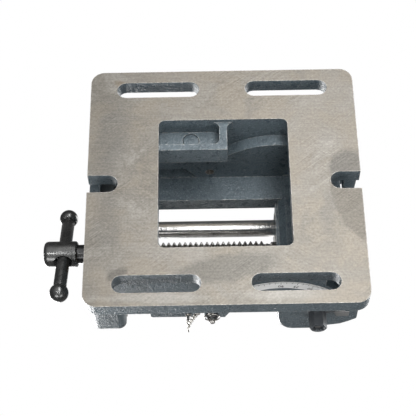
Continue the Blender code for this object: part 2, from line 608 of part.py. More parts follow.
lo, hi = 0.0, 40.0
for _ in range(40):
    mid = (lo + hi) / 2
    if chain_len(mid) < CHAIN_L:
        lo = mid
    else:
        hi = mid
SAG = (lo + hi) / 2
bm = bmesh.new()
rows = []
N = 32
for i in range(N + 1):
    f = 0.012 + 0.976 * i / N
    p = chain_point(f, SAG)
    d = (chain_point(f + 0.01, SAG) - chain_point(f - 0.01, SAG)).normalized()
    u = d.cross(Vector((0.31, 0.95, 0.0))).normalized()
    w = d.cross(u)
    ph = i % 4
    ru, rw = ((1.25, 0.6), (0.9, 0.9), (0.6, 1.25), (0.9, 0.9))[ph]
    rows.append([bm.verts.new(p + u * (ru * math.cos(2 * math.pi * j / 6)) + w * (rw * math.sin(2 * math.pi * j / 6)))
                 for j in range(6)])
for r0, r1 in zip(rows, rows[1:]):
    for j in range(6):
        k = (j + 1) % 6
        bm.faces.new((r0[j], r0[k], r1[k], r1[j]))
bm.faces.new(rows[0][::-1])
bm.faces.new(rows[-1])
o = raw("t", bm)
finish(o, "pin_chain", steel("chain_steel", 0.65, 0.22), tuple(a), True, 60.0)

# --------------------------------------------------------------- level stop
# round stop that the body rests on at 0 degrees, flush with the pocket's floor
o = lathe([(16.4, STOP_R - 0.3), (16.7, STOP_R), (41.6, STOP_R), (42.5, STOP_R - 0.9)], "z", (STOP_X, STOP_Y), 32)
finish(o, "level_stop", paint("level_stop_paint"), (STOP_X, STOP_Y, 20.0), True)
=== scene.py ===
"""Looks of the tilting angle vise, built round the fixed model.

Lengths in the piece functions are drawing units of U metres, with the middle
of the base plate at x = 0; place() brings them to the model's own frame.
"""

import math

import bmesh
import bpy
from mathutils import Matrix, Vector


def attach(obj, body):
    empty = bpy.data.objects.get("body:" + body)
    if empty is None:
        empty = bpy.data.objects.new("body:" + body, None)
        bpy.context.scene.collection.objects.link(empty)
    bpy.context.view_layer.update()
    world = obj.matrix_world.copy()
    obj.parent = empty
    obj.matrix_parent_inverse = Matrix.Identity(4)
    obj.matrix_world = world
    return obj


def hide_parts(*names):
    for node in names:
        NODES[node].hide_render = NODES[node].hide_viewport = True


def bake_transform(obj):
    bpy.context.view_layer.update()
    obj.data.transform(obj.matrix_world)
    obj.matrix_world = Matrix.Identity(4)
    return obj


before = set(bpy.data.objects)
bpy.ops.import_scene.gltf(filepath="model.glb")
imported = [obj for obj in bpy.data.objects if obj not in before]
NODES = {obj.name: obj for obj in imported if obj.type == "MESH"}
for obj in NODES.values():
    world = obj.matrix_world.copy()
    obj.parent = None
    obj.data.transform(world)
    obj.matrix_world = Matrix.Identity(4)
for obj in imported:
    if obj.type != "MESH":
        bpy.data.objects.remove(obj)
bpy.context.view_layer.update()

U = 0.00091
SX = -22.3
COL = bpy.context.scene.collection
PX, PZ = -41.0, 78.0
ARC_R, BOLT1_A, BOLT2_A = 27.9, -175.9, -120.0
CHEEK_OUT = 68.0
SCREW_Z = 108.0
HUB_X0, HUB_X1, HUB_R = 117.8, 144.6, 10.6
BAR_X, BAR_TILT, BAR_HALF, BAR_R, BALL_R = 129.0, 22.0, 46.7, 5.2, 7.5
ROD_Y, ROD_R = 21.2, 6.75
PIN_X, PIN_Z = 10.4, 57.7


def P(x, y, z):
    return Vector(((x + SX) * U, y * U, z * U))


# ------------------------------------------------------------------ camera
cam_data = bpy.data.cameras.new("camera")
cam = bpy.data.objects.new("camera", cam_data)
COL.objects.link(cam)
cam_data.sensor_width = 36.0
cam_data.lens = 103.85
cam_data.clip_start, cam_data.clip_end = 0.01, 20.0
cam.matrix_world = Matrix((
    (-0.999849, -0.017015, -0.003587, 0.008102 + SX * U),
    (-0.012815, 0.860430, -0.509410, -0.420636),
    (0.011754, -0.509287, -0.860519, -0.675787),
    (0.0, 0.0, 0.0, 1.0)))
bpy.context.scene.camera = cam


# ------------------------------------------------------------------ shape helpers
def raw(bm, name="t"):
    bmesh.ops.recalc_face_normals(bm, faces=bm.faces)
    me = bpy.data.meshes.new(name)
    bm.to_mesh(me)
    bm.free()
    o = bpy.data.objects.new(name, me)
    COL.objects.link(o)
    return o


def prism(pts, a0, a1, axis):
    bm = bmesh.new()

    def put(p, a):
        return {"x": (a, p[0], p[1]), "y": (p[0], a, p[1]), "z": (p[0], p[1], a)}[axis]

    lo = [bm.verts.new(put(p, a0)) for p in pts]
    hi = [bm.verts.new(put(p, a1)) for p in pts]
    n = len(pts)
    bm.faces.new(lo)
    bm.faces.new(hi[::-1])
    for i in range(n):
        j = (i + 1) % n
        bm.faces.new((lo[i], hi[i], hi[j], lo[j]))
    return raw(bm)


def lathe(profile, axis, c, n=64):
    bm = bmesh.new()

    def put(a, b, d):
        return {"x": (a, c[0] + b, c[1] + d), "y": (c[0] + b, a, c[1] + d), "z": (c[0] + b, c[1] + d, a)}[axis]

    rings = []
    for a, r in profile:
        if r <= 1e-6:
            rings.append([bm.verts.new(put(a, 0.0, 0.0))])
        else:
            rings.append([bm.verts.new(put(a, r * math.cos(2 * math.pi * (i + 0.5) / n),
                                           r * math.sin(2 * math.pi * (i + 0.5) / n))) for i in range(n)])
    for r0, r1 in zip(rings, rings[1:]):
        for i in range(n):
            j = (i + 1) % n
            if len(r0) == 1 and len(r1) == 1:
                break
            if len(r0) == 1:
                bm.faces.new((r0[0], r1[j], r1[i]))
            elif len(r1) == 1:
                bm.faces.new((r0[i], r0[j], r1[0]))
            else:
                bm.faces.new((r0[i], r0[j], r1[j], r1[i]))
    for r in (rings[0], rings[-1]):
        if len(r) > 1:
            bm.faces.new(r)
    return raw(bm)


def cyl(axis, c, r, a0, a1, n=64, ch=0.0):
    if ch > 0.0:
        return lathe([(a0, r - ch), (a0 + ch, r), (a1 - ch, r), (a1, r - ch)], axis, c, n)
    return lathe([(a0, r), (a1, r)], axis, c, n)


def boole(a, b, op):
    m = a.modifiers.new("b", "BOOLEAN")
    m.operation = op
    m.solver = "EXACT"
    m.object = b
    dg = bpy.context.evaluated_depsgraph_get()
    dg.update()
    me = bpy.data.meshes.new_from_object(a.evaluated_get(dg))
    a.modifiers.remove(m)
    old = a.data
    a.data = me
    bpy.data.meshes.remove(old)
    bpy.data.objects.remove(b, do_unlink=True)
    return a


def cut(a, *bs):
    for b in bs:
        boole(a, b, "DIFFERENCE")
    return a


def join(*objs):
    """One object that holds several closed shells."""
    bm = bmesh.new()
    for o in objs:
        bm.from_mesh(o.data)
        bpy.data.objects.remove(o, do_unlink=True)
    me = bpy.data.meshes.new("t")
    bm.to_mesh(me)
    bm.free()
    out = bpy.data.objects.new("t", me)
    COL.objects.link(out)
    return out


def on_arc(r, deg):
    t = math.radians(deg)
    return (PX + r * math.cos(t), PZ + r * math.sin(t))


def hexagon(c, af, turn=0.0):
    r = af / math.sqrt(3.0)
    return [(c[0] + r * math.cos(math.radians(60 * i + turn)),
             c[1] + r * math.sin(math.radians(60 * i + turn))) for i in range(6)]


def hex_nut(c, af, turn, y0, y1, axis, bore):
    """Chamfered hexagon nut with a countersunk bore."""
    o = prism(hexagon(c, af, turn), y0, y1, axis)
    R = af / math.sqrt(3.0)
    k = R - af / 2.0 + 0.25
    boole(o, lathe([(y0, af / 2.0 - 0.2), (y0 + k * 0.62, R + 0.05), (y1 - k * 0.62, R + 0.05), (y1, af / 2.0 - 0.2)],
                   axis, c, 72), "INTERSECT")
    cut(o, lathe([(y0 - 0.5, bore + 1.3), (y0 + 0.8, bore), (y1 - 0.8, bore), (y1 + 0.5, bore + 1.3)], axis, c, 48))
    return o


def thread(axis, c, r0, r1, a0, a1, pitch, hand=1, n=36, crest=0.14, root=0.86):
    """A ridge wound round the axis, closed at both ends, which sink into the core."""
    turns = (a1 - a0) / pitch
    steps = int(turns * n)
    bm = bmesh.new()
    rows = []
    for i in range(steps + 1):
        f = i / steps
        t = 2 * math.pi * turns * f * hand
        fade = min(1.0, f * turns / 0.4, (1.0 - f) * turns / 0.4)
        rr = r0 - 0.15 + (r1 - r0 + 0.15) * fade
        row = []
        for da, r in ((-root / 2, r0 - 0.25), (-crest / 2, rr), (crest / 2, rr), (root / 2, r0 - 0.25)):
            a = a0 + (a1 - a0) * f + da * pitch * 0.98
            b, d = r * math.cos(t), r * math.sin(t)
            row.append(bm.verts.new({"x": (a, c[0] + b, c[1] + d), "y": (c[0] + b, a, c[1] + d),
                                     "z": (c[0] + b, c[1] + d, a)}[axis]))
        rows.append(row)
    for p, q in zip(rows, rows[1:]):
        for j in range(4):
            k = (j + 1) % 4
            bm.faces.new((p[j], p[k], q[k], q[j]))
    bm.faces.new(rows[0])
    bm.faces.new(rows[-1])
    return raw(bm)


def torus(R, r, n, m, frame3, squash=1.0):
    c, e1, e2 = frame3
    e3 = e1.cross(e2)
    bm = bmesh.new()
    rows = []
    for i in range(n):
        a = 2 * math.pi * i / n
        ctr = c + e1 * (R * squash * math.cos(a)) + e2 * (R * math.sin(a))
        tan = (-e1 * (squash * math.sin(a)) + e2 * math.cos(a)).normalized()
        nrm = tan.cross(e3).normalized()
        rows.append([bm.verts.new(ctr + (nrm * math.cos(2 * math.pi * j / m) + e3 * math.sin(2 * math.pi * j / m)) * r)
                     for j in range(m)])
    for i in range(n):
        for j in range(m):
            i2, j2 = (i + 1) % n, (j + 1) % m
            bm.faces.new((rows[i][j], rows[i2][j], rows[i2][j2], rows[i][j2]))
    return raw(bm)


def link_ring(c, along, across, half, wide, r, n=26, m=8):
    """Oval chain link: straight sides along, round ends."""
    third = along.cross(across)
    bm = bmesh.new()
    rows = []
    s = half - wide
    pts = []
    for i in range(n):
        a = 2 * math.pi * i / n
        ca, sa = math.cos(a), math.sin(a)
        pts.append(c + along * (wide * ca + (s if ca > 0 else -s if ca < 0 else 0.0)) + across * (wide * sa))
    for i in range(n):
        tan = (pts[(i + 1) % n] - pts[i - 1]).normalized()
        nrm = tan.cross(third).normalized()
        rows.append([bm.verts.new(pts[i] + (nrm * math.cos(2 * math.pi * j / m) + third * math.sin(2 * math.pi * j / m)) * r)
                     for j in range(m)])
    for i in range(n):
        for j in range(m):
            i2, j2 = (i + 1) % n, (j + 1) % m
            bm.faces.new((rows[i][j], rows[i2][j], rows[i2][j2], rows[i][j2]))
    return raw(bm)


def bevel(o, w, seg=2, angle=30.0):
    m = o.modifiers.new("bevel", "BEVEL")
    m.width = w
    m.segments = seg
    m.limit_method = "ANGLE"
    m.angle_limit = math.radians(angle)
    m.use_clamp_overlap = True
    return m


def place(o, name, mat, body, nodes=(), angle=34.0):
    """Brings a piece made in drawing units to the model's frame, and lets it ride."""
    bm = bmesh.new()
    bm.from_mesh(o.data)
    bmesh.ops.remove_doubles(bm, verts=bm.verts, dist=0.0008)
    bmesh.ops.dissolve_degenerate(bm, dist=0.0004, edges=bm.edges)
    for v in bm.verts:
        v.co = P(*v.co)
    bmesh.ops.recalc_face_normals(bm, faces=bm.faces)
    bm.to_mesh(o.data)
    bm.free()
    o.name = name
    o.data.name = name
    o.data.materials.clear()
    o.data.materials.append(mat)
    o.data.shade_smooth()
    o.data.set_sharp_from_angle(angle=math.radians(angle))
    if body is not None:
        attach(o, body)
    if nodes:
        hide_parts(*nodes)
    return o


# ------------------------------------------------------------------ material helpers
class Mat:
    def __init__(self, name):
        self.m = bpy.data.materials.new(name)
        self.m.use_nodes = True
        self.t = self.m.node_tree
        self.b = self.t.nodes["Principled BSDF"]
        tc = self.t.nodes.new("ShaderNodeTexCoord")
        self.co = tc.outputs["Object"]
        self.geo = self.t.nodes.new("ShaderNodeNewGeometry")

    def link(self, a, b):
        self.t.links.new(a, b)

    def mapping(self, scale=(1, 1, 1), rot=(0, 0, 0), src=None, loc=(0, 0, 0)):
        n = self.t.nodes.new("ShaderNodeMapping")
        n.inputs["Scale"].default_value = scale
        n.inputs["Rotation"].default_value = rot
        n.inputs["Location"].default_value = loc
        self.link(src or self.co, n.inputs["Vector"])
        return n.outputs["Vector"]

    def streaks(self, fine, long, turn, seed=0.0):
        """Noise drawn out into lines: fine per metre across, long times that along, turned by degrees."""
        n = self.t.nodes.new("ShaderNodeMapping")
        n.vector_type = "TEXTURE"
        n.inputs["Location"].default_value = (seed, seed * 0.37, 0.0)
        n.inputs["Rotation"].default_value = (0.0, 0.0, math.radians(turn))
        n.inputs["Scale"].default_value = (long, 1.0, 1.0)
        self.link(self.co, n.inputs["Vector"])
        return self.noise(fine, 3.0, 0.6, n.outputs["Vector"])

    def noise(self, scale, detail=4.0, rough=0.55, vec=None, dist=0.0):
        n = self.t.nodes.new("ShaderNodeTexNoise")
        n.inputs["Scale"].default_value = scale
        n.inputs["Detail"].default_value = detail
        n.inputs["Roughness"].default_value = rough
        n.inputs["Distortion"].default_value = dist
        self.link(vec or self.co, n.inputs["Vector"])
        return n.outputs["Fac"]

    def voronoi(self, scale, vec=None, feature="F1"):
        n = self.t.nodes.new("ShaderNodeTexVoronoi")
        n.feature = feature
        n.inputs["Scale"].default_value = scale
        self.link(vec or self.co, n.inputs["Vector"])
        return n.outputs["Distance"]

    def wave(self, scale, vec=None, dist=0.0, kind="BANDS", direction="X"):
        n = self.t.nodes.new("ShaderNodeTexWave")
        n.wave_type = kind
        if kind == "BANDS":
            n.bands_direction = direction
        n.inputs["Scale"].default_value = scale
        n.inputs["Distortion"].default_value = dist
        self.link(vec or self.co, n.inputs["Vector"])
        return n.outputs["Fac"]

    def ramp(self, fac, *stops):
        n = self.t.nodes.new("ShaderNodeValToRGB")
        el = n.color_ramp.elements
        while len(el) < len(stops):
            el.new(0.5)
        for e, (p, c) in zip(el, stops):
            e.position = p
            if isinstance(c, (int, float)):
                c = (c, c, c)
            e.color = (c[0], c[1], c[2], 1.0)
        self.link(fac, n.inputs["Fac"])
        return n.outputs["Color"]

    def math(self, op, a, b=0.0, clamp=False, c=None):
        n = self.t.nodes.new("ShaderNodeMath")
        n.operation = op
        n.use_clamp = clamp
        for i, v in enumerate((a, b, c)):
            if v is None:
                continue
            if isinstance(v, (int, float)):
                n.inputs[i].default_value = v
            else:
                self.link(v, n.inputs[i])
        return n.outputs[0]

    def mix(self, fac, a, b, mode="MIX"):
        n = self.t.nodes.new("ShaderNodeMix")
        n.data_type = "RGBA"
        n.blend_type = mode
        for key, v in ((0, fac), (6, a), (7, b)):
            if isinstance(v, (int, float)):
                if key == 0:
                    n.inputs[0].default_value = v
                else:
                    n.inputs[key].default_value = (v, v, v, 1)
            elif isinstance(v, tuple):
                n.inputs[key].default_value = (v[0], v[1], v[2], 1)
            else:
                self.link(v, n.inputs[key])
        return n.outputs[2]

    def fmix(self, fac, a, b):
        n = self.t.nodes.new("ShaderNodeMix")
        n.data_type = "FLOAT"
        for key, v in ((0, fac), (2, a), (3, b)):
            if isinstance(v, (int, float)):
                n.inputs[key].default_value = v
            else:
                self.link(v, n.inputs[key])
        return n.outputs[0]

    def bump(self, height, strength, dist, normal=None):
        n = self.t.nodes.new("ShaderNodeBump")
        n.inputs["Strength"].default_value = strength
        n.inputs["Distance"].default_value = dist
        self.link(height, n.inputs["Height"])
        if normal is not None:
            self.link(normal, n.inputs["Normal"])
        return n.outputs["Normal"]

    def sep(self, v):
        n = self.t.nodes.new("ShaderNodeSeparateXYZ")
        self.link(v, n.inputs[0])
        return n.outputs

    def edges(self, radius, lo=0.02, hi=0.25):
        """1 on sharp edges, 0 elsewhere."""
        n = self.t.nodes.new("ShaderNodeBevel")
        n.samples = 4
        n.inputs["Radius"].default_value = radius
        d = self.t.nodes.new("ShaderNodeVectorMath")
        d.operation = "DOT_PRODUCT"
        self.link(n.outputs["Normal"], d.inputs[0])
        self.link(self.geo.outputs["Normal"], d.inputs[1])
        inv = self.math("SUBTRACT", 1.0, d.outputs["Value"])
        mr = self.t.nodes.new("ShaderNodeMapRange")
        mr.inputs["From Min"].default_value = lo
        mr.inputs["From Max"].default_value = hi
        self.link(inv, mr.inputs["Value"])
        return mr.outputs["Result"]

    def patch(self, c, r, turn, soft=0.35, wobble=0.5, below=None, nscale=70.0):
        """1 inside an uneven oval patch of the xy plane, 0 outside. c, r and below in drawing units."""
        n = self.t.nodes.new("ShaderNodeMapping")
        n.vector_type = "TEXTURE"
        n.inputs["Location"].default_value = ((c[0] + SX) * U, c[1] * U, 0.0)
        n.inputs["Rotation"].default_value = (0.0, 0.0, math.radians(turn))
        n.inputs["Scale"].default_value = (r[0] * U, r[1] * U, 1.0)
        self.link(self.co, n.inputs["Vector"])
        d = self.t.nodes.new("ShaderNodeVectorMath")
        d.operation = "LENGTH"
        self.link(n.outputs["Vector"], d.inputs[0])
        w = self.math("MULTIPLY", self.math("SUBTRACT", self.noise(nscale, 5.0, 0.6), 0.5), wobble * 2.0)
        e = self.math("ADD", d.outputs["Value"], w)
        f = self.math("MULTIPLY", self.math("SUBTRACT", 1.0, e), 1.0 / soft, True)
        if below is not None:
            f = self.math("MULTIPLY", f, self.math("LESS_THAN", self.sep(self.co)[1], below * U))
        return f

    def around(self, axis, c, r):
        """1 within r metres of a line along an axis, 0 outside. c in metres."""
        pos = self.sep(self.co)
        i, j = [k for k in range(3) if "xyz"[k] != axis]
        a = self.math("SUBTRACT", pos[i], c[0])
        b = self.math("SUBTRACT", pos[j], c[1])
        q = self.math("ADD", self.math("MULTIPLY", a, a), self.math("MULTIPLY", b, b))
        return self.math("LESS_THAN", q, r * r)

    def out(self, color=None, rough=None, metal=None, normal=None):
        for key, v in (("Base Color", color), ("Roughness", rough), ("Metallic", metal), ("Normal", normal)):
            if v is None:
                continue
            if isinstance(v, (int, float)):
                self.b.inputs[key].default_value = v
            elif isinstance(v, tuple):
                self.b.inputs[key].default_value = (v[0], v[1], v[2], 1)
            else:
                self.link(v, self.b.inputs[key])
        return self.m


def ground_metal(M, stains=(), painted_light_gain=1.0):
    """Colour, roughness and height of a big ground face that has been handled and oiled, its tone scaled by a gain that
    paints in light.
    """
    along = M.streaks(950.0, 22.0, 1.5)
    slant = M.streaks(1200.0, 34.0, -38.0, 0.31)
    slant2 = M.streaks(1100.0, 30.0, 33.0, 0.77)
    swirl = M.wave(420.0, M.mapping((1.0, 1.0, 0.0), (0, 0, 0), None, (0.19, 0.33, 0.0)), 3.0, "RINGS")
    where = M.ramp(M.noise(20.0, 3.0, 0.55, M.mapping((1, 1, 1), (0, 0, 0.7), None, (5.2, 2.2, 0.1))), (0.46, 0.0), (0.60, 1.0))
    where2 = M.ramp(M.noise(26.0, 3.0, 0.55, M.mapping((1, 1, 1), (0, 0, 0.2), None, (1.9, 7.3, 0.4))), (0.48, 0.0), (0.62, 1.0))
    blot = M.noise(15.0, 6.0, 0.62, None, 0.8)
    cloud = M.noise(42.0, 6.0, 0.68, M.mapping((1.0, 1.0, 1.0), (0, 0, 0.4), None, (3.1, 1.7, 0.3)), 0.5)
    speck = M.noise(640.0, 4.0, 0.75)

    # painted light: the gain scales the whole tone, giving a darker copy of this ground metal on the strongly lit base
    # underside and lighter copies elsewhere
    def tone_(*c):
        return tuple(min(1.0, v * painted_light_gain) for v in c)

    col = M.ramp(blot, (0.36, tone_(0.150, 0.140, 0.123)), (0.50, tone_(0.183, 0.171, 0.151)), (0.64, tone_(0.213, 0.199, 0.178)))
    col = M.mix(M.ramp(cloud, (0.46, 0.0), (0.60, 0.65)), col, tone_(0.199, 0.178, 0.148))
    col = M.mix(M.ramp(cloud, (0.34, 0.60), (0.44, 0.0)), col, tone_(0.241, 0.230, 0.209))
    for mask, k, tone in stains:
        col = M.mix(M.math("MULTIPLY", mask, k), col, tone)
    col = M.mix(0.30, col, M.ramp(along, (0.30, 0.22), (0.70, 0.78)), "SOFT_LIGHT")
    col = M.mix(M.math("MULTIPLY", where, 0.36), col, M.ramp(slant, (0.32, 0.16), (0.68, 0.80)), "SOFT_LIGHT")
    col = M.mix(M.math("MULTIPLY", where2, 0.26), col, M.ramp(slant2, (0.32, 0.20), (0.68, 0.76)), "SOFT_LIGHT")
    col = M.mix(M.math("MULTIPLY", where2, 0.16), col, M.ramp(swirl, (0.25, 0.22), (0.85, 0.72)), "SOFT_LIGHT")
    col = M.mix(0.52, col, M.ramp(speck, (0.30, 0.20), (0.70, 0.80)), "SOFT_LIGHT")
    pore = M.ramp(M.noise(1500.0, 2.0, 0.6), (0.70, 0.0), (0.76, 0.5))
    col = M.mix(pore, col, (0.10, 0.095, 0.09))
    rough = M.math("ADD", M.fmix(blot, 0.38, 0.54), M.math("MULTIPLY", M.math("SUBTRACT", along, 0.5), 0.25))
    h = M.math("ADD", M.math("MULTIPLY", along, 0.6), M.math("MULTIPLY", M.math("MULTIPLY", slant, where), 0.5))
    return col, rough, h


def casting_paint(M, tint=1.0):
    """Blue-grey machinery paint on sand-cast iron, with painted glints: colour, roughness and height."""
    big = M.noise(22.0, 4.0, 0.55)
    mid = M.noise(150.0, 4.0, 0.62)
    sand = M.noise(480.0, 3.0, 0.72)
    pit = M.voronoi(430.0)
    col = M.ramp(big, (0.28, (0.066 * tint, 0.088 * tint, 0.102 * tint)), (0.55, (0.088 * tint, 0.116 * tint, 0.133 * tint)),
                 (0.78, (0.112 * tint, 0.144 * tint, 0.162 * tint)))
    col = M.mix(0.30, col, M.ramp(mid, (0.32, 0.34), (0.68, 0.66)), "SOFT_LIGHT")
    # painted glints: light specks in the paint colour stand in for the orange peel catching the light
    painted_glint_dots = M.ramp(M.noise(820.0, 3.0, 0.75), (0.55, 0.0), (0.63, 0.75))
    col = M.mix(painted_glint_dots, col, (0.205, 0.235, 0.255))
    rough = M.math("ADD", M.math("MULTIPLY", mid, 0.20), 0.19)
    pits = M.ramp(pit, (0.0, 0.0), (0.30, 1.0))
    h = M.math("ADD", M.math("ADD", M.math("MULTIPLY", big, 0.3), M.math("MULTIPLY", mid, 0.25)),
               M.math("ADD", M.math("MULTIPLY", sand, 1.0), M.math("MULTIPLY", pits, 0.5)))
    return col, rough, h


def between(M, v, lo, hi, soft):
    """1 where lo < v < hi, with soft ends."""
    a = M.math("MULTIPLY", M.math("SUBTRACT", v, lo), 1.0 / soft, True)
    b = M.math("MULTIPLY", M.math("SUBTRACT", hi, v), 1.0 / soft, True)
    return M.math("MULTIPLY", a, b)


def casting(name, faces, bores=(), patches=(), bare_edge=0.8, painted_light_gain=1.0):
    """Painted casting whose machined faces and bores are bare; a painted highlight lightens the paint along its edges.

    faces: (axis, sign, level in metres, reach) each; bores: (axis, centre, radius) in metres;
    patches: (strength, tone, then patch()'s own values) of stains on the ground face.
    """
    M = Mat(name)
    pc, pr, ph = casting_paint(M)
    gc, gr, gh = ground_metal(M, [(M.patch(*q[2:]), q[0], q[1]) for q in patches], painted_light_gain)
    pos = M.sep(M.co)
    nor = M.sep(M.geo.outputs["True Normal"])
    mask = None
    for axis, sign, level, extra in faces:
        i = "xyz".index(axis)
        f = between(M, pos[i], level - 0.00025, level + 0.00025, 0.0001)
        d = M.math("GREATER_THAN", M.math("MULTIPLY", nor[i], float(sign)), 0.5)
        f = M.math("MULTIPLY", f, d)
        for ax2, lo2, hi2 in extra:
            f = M.math("MULTIPLY", f, between(M, pos["xyz".index(ax2)], lo2, hi2, 0.0002))
        mask = f if mask is None else M.math("MAXIMUM", mask, f)
    bored = None
    for axis, c, r in bores:
        f = M.around(axis, c, r)
        bored = f if bored is None else M.math("MAXIMUM", bored, f)
    edge = M.edges(0.0013, 0.025, 0.16)
    chips = M.ramp(M.noise(430.0, 4.0, 0.75), (0.46, 0.0), (0.53, 1.0))
    worn = M.math("MULTIPLY", M.math("MULTIPLY", edge, chips), bare_edge)
    # painted highlight: the paint is lightened along every edge, as if the edges caught the light
    painted_edge_highlight = M.math("MULTIPLY", edge, 0.45)
    col = M.mix(painted_edge_highlight, pc, (0.185, 0.208, 0.222))
    col = M.mix(worn, col, (0.46, 0.46, 0.44))
    rim = M.mix(chips, (0.16, 0.15, 0.135), (0.40, 0.385, 0.36))
    col = M.mix(mask, col, M.mix(M.math("MULTIPLY", edge, 0.85), gc, rim))
    metal = M.math("MAXIMUM", M.math("MULTIPLY", worn, 0.8), M.math("MULTIPLY", mask, 0.82))
    rough = M.fmix(mask, pr, gr)
    if bored is not None:
        col = M.mix(bored, col, M.ramp(chips, (0.0, (0.62, 0.60, 0.57)), (1.0, (0.74, 0.73, 0.70))))
        metal = M.math("MAXIMUM", metal, M.math("MULTIPLY", bored, 0.9))
        mask = M.math("MAXIMUM", mask, bored)
    n1 = M.bump(ph, 1.0, 0.00070)
    n2 = M.bump(gh, 0.30, 0.00008)
    mixn = M.t.nodes.new("ShaderNodeMix")
    mixn.data_type = "VECTOR"
    M.link(mask, mixn.inputs[0])
    M.link(n1, mixn.inputs[4])
    M.link(n2, mixn.inputs[5])
    M.b.inputs["Specular IOR Level"].default_value = 0.40
    return M.out(col, rough, metal, mixn.outputs[1])


def steel(name, base, rough, turned=None, dirt=0.35, spots=0.0, metal=1.0, grain_axis="x", bumpy=0.00003, dark_from=None):
    """Plain steel: turning marks round an axis or a drawn grain, oil stains, brighter edges."""
    M = Mat(name)
    if turned is not None:
        s = {"x": (1.0, 0.02, 0.02), "y": (0.02, 1.0, 0.02), "z": (0.02, 0.02, 1.0)}[turned]
    else:
        s = {"x": (0.04, 1.0, 1.0), "y": (1.0, 0.04, 1.0), "z": (1.0, 1.0, 0.04)}[grain_axis]
    line = M.noise(1500.0, 3.0, 0.6, M.mapping(s))
    stain = M.noise(60.0, 4.0, 0.6, None, 0.5)
    fine = M.noise(800.0, 3.0, 0.6)
    b = base
    col = M.ramp(stain, (0.30, tuple(x * (1 - dirt) for x in b)), (0.62, b))
    col = M.mix(0.30, col, M.ramp(line, (0.3, 0.28), (0.7, 0.66)), "SOFT_LIGHT")
    if spots > 0:
        col = M.mix(M.math("MULTIPLY", M.ramp(fine, (0.60, 0.0), (0.70, 1.0)), spots), col, tuple(x * 0.35 for x in b))
    edge = M.edges(0.0004, 0.04, 0.25)
    col = M.mix(M.math("MULTIPLY", edge, 0.45), col, tuple(min(1.0, x * 1.5 + 0.05) for x in b))
    if dark_from is not None:
        far = M.math("GREATER_THAN", M.sep(M.co)[0], dark_from)
        col = M.mix(far, col, M.ramp(stain, (0.3, (0.045, 0.045, 0.046)), (0.7, (0.10, 0.10, 0.10))))
    r = M.math("ADD", M.math("MULTIPLY", stain, 0.16), rough - 0.08)
    h = M.math("ADD", M.math("MULTIPLY", line, 0.6), M.math("MULTIPLY", fine, 0.4))
    return M.out(col, r, metal, M.bump(h, 0.25, bumpy))


def black_oxide(name):
    M = Mat(name)
    n1 = M.noise(90.0, 4.0, 0.6)
    n2 = M.noise(1100.0, 3.0, 0.6)
    n3 = M.noise(520.0, 4.0, 0.7)
    col = M.ramp(n1, (0.30, (0.100, 0.101, 0.101)), (0.7, (0.165, 0.165, 0.162)))
    col = M.mix(0.5, col, M.ramp(n3, (0.32, 0.24), (0.68, 0.72)), "SOFT_LIGHT")
    edge = M.edges(0.0005, 0.04, 0.25)
    worn = M.math("MULTIPLY", edge, M.ramp(M.noise(420.0, 3.0, 0.6), (0.45, 0.1), (0.6, 1.0)))
    col = M.mix(M.math("MULTIPLY", worn, 0.7), col, (0.30, 0.30, 0.295))
    r = M.math("ADD", M.math("MULTIPLY", n1, 0.22), 0.16)
    M.b.inputs["Specular IOR Level"].default_value = 0.5
    return M.out(col, r, 0.85, M.bump(n2, 0.25, 0.00003))


def enamel(name):
    M = Mat(name)
    n1 = M.noise(120.0, 4.0, 0.6)
    n2 = M.noise(700.0, 3.0, 0.7)
    col = M.ramp(n1, (0.3, (0.84, 0.84, 0.82)), (0.7, (0.93, 0.93, 0.92)))
    col = M.mix(M.ramp(n2, (0.68, 0.0), (0.76, 0.4)), col, (0.45, 0.43, 0.40))
    return M.out(col, M.math("ADD", M.math("MULTIPLY", n1, 0.2), 0.28), 0.0, M.bump(n2, 0.12, 0.00002))


def ink(name):
    M = Mat(name)
    n = M.noise(600.0, 3.0, 0.6)
    return M.out(M.ramp(n, (0.3, (0.010, 0.010, 0.011)), (0.8, (0.05, 0.05, 0.05))), 0.45, 0.0, M.bump(n, 0.1, 0.00002))


# metres from drawing units along x, for the machined face masks
def mx(x):
    return (x + SX) * U


PIN_BORE = ("y", (mx(PIN_X), PIN_Z * U), 3.62 * U)
GREY, BEIGE, PALE = (0.138, 0.132, 0.121), (0.200, 0.181, 0.154), (0.252, 0.244, 0.226)
BASE = casting("base_paint", [("z", -1, 0.0, [])], [PIN_BORE], [
    (0.85, (0.122, 0.116, 0.106), (-90.0, 10.0), (15.0, 19.0), 12.0, 0.30, 0.25),
    (0.85, (0.128, 0.118, 0.103), (-118.0, -2.0), (42.0, 58.0), 0.0, 0.04, 0.04, 0.0),
    (0.55, GREY, (-74.0, -28.0), (7.0, 20.0), 8.0, 0.6, 0.9),
    (0.80, (0.128, 0.122, 0.110), (0.0, -72.0), (44.0, 13.0), -10.0, 0.35, 0.5),
    (0.80, (0.105, 0.098, 0.088), (76.0, -75.0), (9.0, 4.5), -30.0, 0.5, 0.9),
    (0.70, (0.157, 0.126, 0.091), (76.0, 88.0), (9.0, 4.0), 20.0, 0.5, 0.6),
    (0.60, GREY, (82.0, 40.0), (16.0, 44.0), 4.0, 0.6, 0.5),
    (0.50, GREY, (84.0, -34.0), (12.0, 40.0), -4.0, 0.6, 0.5),
    (0.60, PALE, (50.0, -94.0), (48.0, 5.0), 0.0, 0.5, 0.7),
    (0.45, PALE, (-40.0, -93.0), (34.0, 5.0), 2.0, 0.5, 0.7),
    (0.35, BEIGE, (-64.0, 44.0), (12.0, 30.0), 10.0, 0.6, 0.6)])
# painted light: body and jaw ground faces take 2.1 times the base's tone, a lighter copy standing in for light from
# above
BODY = casting("body_paint", [("z", 1, 79.0 * U, []), ("z", 1, 143.0 * U, [])], [PIN_BORE], painted_light_gain=2.1)
JAW = casting("jaw_paint", [("z", 1, 143.0 * U, []), ("z", -1, 79.4 * U, [])], painted_light_gain=2.1)


